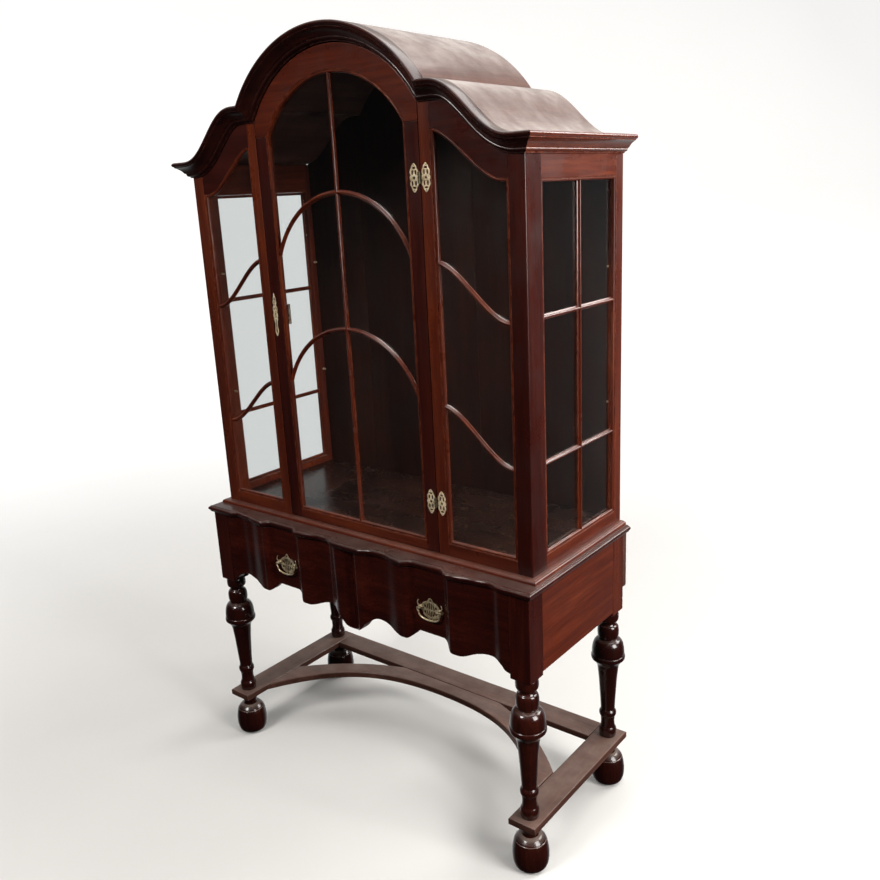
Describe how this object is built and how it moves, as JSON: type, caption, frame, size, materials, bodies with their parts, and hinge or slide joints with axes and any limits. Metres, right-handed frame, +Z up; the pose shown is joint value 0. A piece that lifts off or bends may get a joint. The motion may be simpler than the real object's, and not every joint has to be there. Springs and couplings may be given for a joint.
{
  "type": "china cabinet",
  "caption": "Glazed mahogany china cabinet with an arched, barred centre door between fixed ogee panes, serpentine drawers with brass bails, and a turned-leg stand with a bowed stretcher.",
  "frame": {"origin": "on the floor, under the middle of the cabinet's overall box", "axes": "+Z up; the glazed front, door and drawers face -Y; +X is the viewer's right when facing the front"},
  "size_m": [1.1786, 0.517, 2.072],
  "materials": {
    "mahogany": "french-polished reddish-brown mahogany, satin with sheen",
    "mahogany_dark": "dark maroon polished mahogany, glossy",
    "mahogany_dull": "same mahogany on upward faces, dusty and worn to a dull sheen",
    "interior_wood": "plain stained back boards, satin",
    "drawer_wood": "unfinished secondary wood, matt",
    "old_brass": "aged pierced brass, worn bright on raised edges",
    "lock_steel": "browned steel lock case",
    "glass": "clear old window glass"
  },
  "bodies": {
    "cabinet": {"apron_back": "mahogany", "apron_left": "mahogany", "apron_right": "mahogany", "arch_header": "mahogany", "back_panel": "interior_wood", "case_base": "mahogany", "corner_post_left": "mahogany", "corner_post_right": "mahogany", "cornice_front": "mahogany_dark", "cornice_left": "mahogany_dark", "cornice_right": "mahogany_dark", "drawer_divider": "drawer_wood", "foot_front_left": "mahogany_dark", "foot_front_right": "mahogany_dark", "foot_rear_left": "mahogany_dark", "foot_rear_right": "mahogany_dark", "hinge_bottom_frame": "old_brass", "hinge_top_frame": "old_brass", "leg_front_left": "mahogany_dark", "leg_front_right": "mahogany_dark", "leg_rear_left": "mahogany_dark", "leg_rear_right": "mahogany_dark", "panel_frame_left": "mahogany", "panel_frame_right": "mahogany", "panel_glass_left": "glass", "panel_glass_right": "glass", "panel_muntin_lower_left": "mahogany", "panel_muntin_lower_right": "mahogany", "panel_muntin_upper_left": "mahogany", "panel_muntin_upper_right": "mahogany", "roof": "mahogany_dull", "side_frame_left": "mahogany", "side_frame_right": "mahogany", "side_glass_left": "glass", "side_glass_right": "glass", "side_muntins_left": "mahogany", "side_muntins_right": "mahogany", "stretcher_back": "mahogany_dull", "stretcher_bow": "mahogany_dull", "stretcher_left": "mahogany_dull", "stretcher_right": "mahogany_dull", "waist_moulding": "mahogany"},
    "door": {"door_stile_left": "mahogany", "door_stile_right": "mahogany", "door_top_rail": "mahogany", "door_bottom_rail": "mahogany", "door_glass": "glass", "door_muntins": "mahogany", "hinge_top_door": "old_brass", "hinge_bottom_door": "old_brass", "lock_case": "lock_steel", "escutcheon": "old_brass"},
    "drawer_left": {"drawer_front_left": "mahogany", "drawer_box_left": "drawer_wood", "pull_plate_left": "old_brass"},
    "bail_left": {"bail_left": "old_brass"},
    "drawer_right": {"drawer_front_right": "mahogany", "drawer_box_right": "drawer_wood", "pull_plate_right": "old_brass"},
    "bail_right": {"bail_right": "old_brass"}
  },
  "joints": [
    {"name": "door_hinge", "type": "hinge", "parent": "cabinet", "child": "door", "pos_m": [0.2707, -0.19, 1.324], "axis": [0, 0, 1], "range_deg": [0, 105]},
    {"name": "drawer_left_slide", "type": "slide", "parent": "cabinet", "child": "drawer_left", "axis": [0, -1, 0], "range_m": [0, 0.25]},
    {"name": "bail_left_hinge", "type": "hinge", "parent": "drawer_left", "child": "bail_left", "pos_m": [-0.2665, -0.236, 0.659], "axis": [-1, 0, 0], "range_deg": [0, 80]},
    {"name": "drawer_right_slide", "type": "slide", "parent": "cabinet", "child": "drawer_right", "axis": [0, -1, 0], "range_m": [0, 0.25]},
    {"name": "bail_right_hinge", "type": "hinge", "parent": "drawer_right", "child": "bail_right", "pos_m": [0.2665, -0.236, 0.659], "axis": [-1, 0, 0], "range_deg": [0, 80]}
  ]
}
